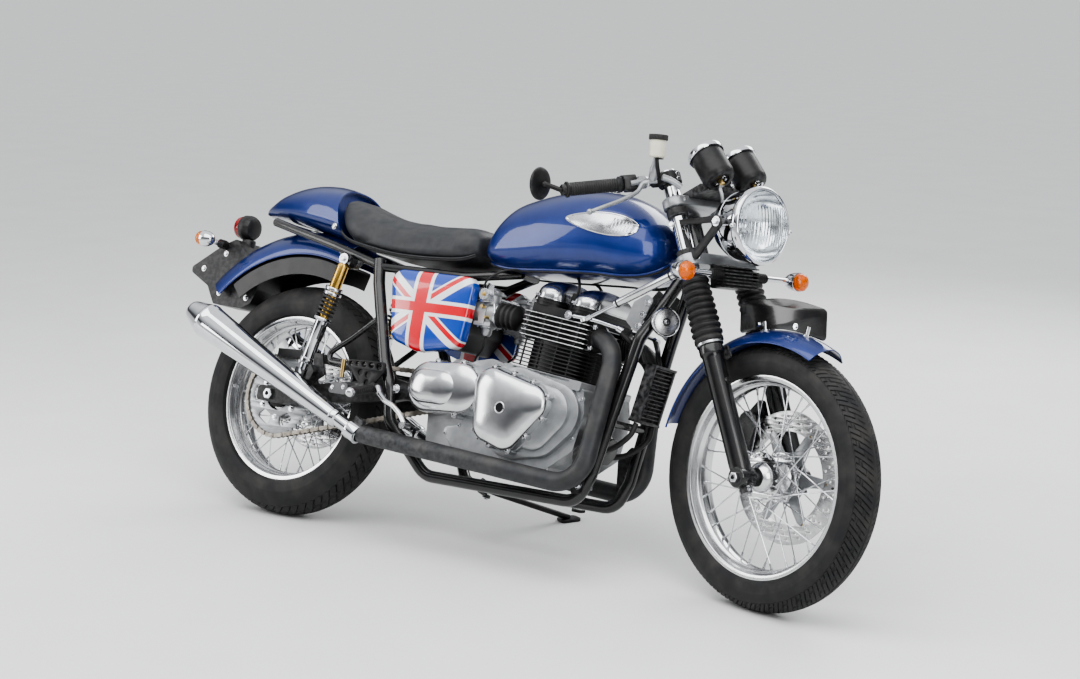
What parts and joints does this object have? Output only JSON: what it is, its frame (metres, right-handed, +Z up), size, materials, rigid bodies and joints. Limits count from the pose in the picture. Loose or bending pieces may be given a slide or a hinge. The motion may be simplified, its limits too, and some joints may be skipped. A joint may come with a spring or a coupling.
{
  "type": "cafe racer motorcycle",
  "caption": "Spoked-wheel cafe racer motorcycle leaning on its side stand, with turning wheels, steering, steering damper and folding stand.",
  "frame": {"origin": "on the floor under the middle of the machine's box as it stands parked", "axes": "+X forwards, +Y to the rider's left, +Z up. The row stands leaning on its side stand with the steering turned right, so its axes are those of the parked machine."},
  "size_m": [2.2439, 0.9101, 1.1078],
  "materials": {
    "blue_paint": "deep blue metallic under clear lacquer",
    "bright_steel": "bright plated steel",
    "cast_alloy": "satin cast alloy",
    "chain_steel": "oiled roller chain",
    "chrome": "mirror chrome",
    "cylinder_black": "satin black with bright machined fin edges",
    "frame_black": "gloss black enamel",
    "gaiter_rubber": "matt black moulded rubber",
    "instrument_black": "black cans with bright rims",
    "lamp_glass": "clear fluted glass",
    "matt_exhaust": "matt dark grey heat-proof coating",
    "panel_paint": "blue panel with crossed red and white stripes",
    "plate_black": "plain gloss black, nothing written",
    "polished_alloy": "polished alloy",
    "satin_black": "satin black coating",
    "seat_vinyl": "dark grey padded vinyl",
    "shock_metal": "plated steel and gold anodised alloy",
    "spring_black": "black coated spring wire",
    "tyre": "treaded rubber"
  },
  "bodies": {
    "frame": {"frame_spine": "frame_black", "frame_cradle": "frame_black", "seat_rails": "frame_black", "swingarm": "frame_black", "rear_axle": "bright_steel", "rear_shocks": "shock_metal", "shock_springs": "spring_black", "crankcase": "cast_alloy", "cylinder_block": "cylinder_black", "cylinder_head": "cylinder_black", "cam_cover": "polished_alloy", "engine_covers": "polished_alloy", "carburettors": "cast_alloy", "airbox": "satin_black", "exhaust_headers": "matt_exhaust", "silencers": "chrome", "oil_cooler": "satin_black", "fuel_tank": "blue_paint", "fuel_cap": "chrome", "seat": "seat_vinyl", "seat_cowl": "blue_paint", "side_panels": "panel_paint", "rear_mudguard": "blue_paint", "rear_inner_guard": "satin_black", "tail_bracket": "satin_black", "rear_lamps": "chrome", "drive_chain": "chain_steel", "footrests": "satin_black", "rear_caliper": "satin_black", "horn": "satin_black"},
    "steering": {"fork_yokes": "cast_alloy", "fork_stanchions": "chrome", "fork_gaiters": "gaiter_rubber", "fork_sliders": "frame_black", "front_axle": "bright_steel", "front_mudguard": "blue_paint", "number_plate": "plate_black", "headlamp_shell": "chrome", "headlamp_lens": "lamp_glass", "headlamp_brackets": "satin_black", "instruments": "instrument_black", "regulator": "satin_black", "handlebars": "satin_black", "grips": "gaiter_rubber", "control_levers": "polished_alloy", "bar_end_mirrors": "satin_black", "front_indicators": "chrome", "front_caliper": "satin_black"},
    "front_wheel": {"front_tyre": "tyre", "front_rim": "polished_alloy", "front_spokes": "bright_steel", "front_hub": "cast_alloy"},
    "rear_wheel": {"rear_tyre": "tyre", "rear_rim": "polished_alloy", "rear_spokes": "bright_steel", "rear_hub": "cast_alloy"},
    "side_stand": {"side_stand": "satin_black"},
    "damper_body": {"damper_body": "satin_black"},
    "damper_rod": {"damper_rod": "bright_steel"}
  },
  "joints": [
    {"name": "steering", "type": "hinge", "parent": "frame", "child": "steering", "pos_m": [0.50376, -0.01098, 0.80095], "axis": [-0.441, 0.2777, 0.8534], "range_deg": [-11, 45]},
    {"name": "front_wheel_spin", "type": "hinge", "parent": "steering", "child": "front_wheel", "pos_m": [0.813, -0.18535, 0.31446], "axis": [0.2633, 0.9491, -0.1728], "continuous": true},
    {"name": "rear_wheel_spin", "type": "hinge", "parent": "frame", "child": "rear_wheel", "pos_m": [-0.66895, -0.17011, 0.30752], "axis": [0.001, 0.9511, -0.309], "continuous": true},
    {"name": "stand_fold", "type": "hinge", "parent": "frame", "child": "side_stand", "pos_m": [-0.08037, -0.09026, 0.12148], "axis": [0.0748, 0.4006, 0.9132], "range_deg": [0, 102]},
    {"name": "damper_swing", "type": "hinge", "parent": "steering", "child": "damper_body", "pos_m": [0.54776, -0.17217, 0.78124], "axis": [-0.441, 0.2777, 0.8534], "range_deg": [-40, 12]},
    {"name": "damper_slide", "type": "slide", "parent": "damper_body", "child": "damper_rod", "axis": [-0.8559, -0.1752, -0.4866], "range_m": [-0.03, 0.11]}
  ],
  "couplings": [
    {"joint": "damper_swing", "follows": "steering", "ratio": -0.849},
    {"joint": "damper_slide", "follows": "steering", "m_per_rad": 0.1346}
  ]
}
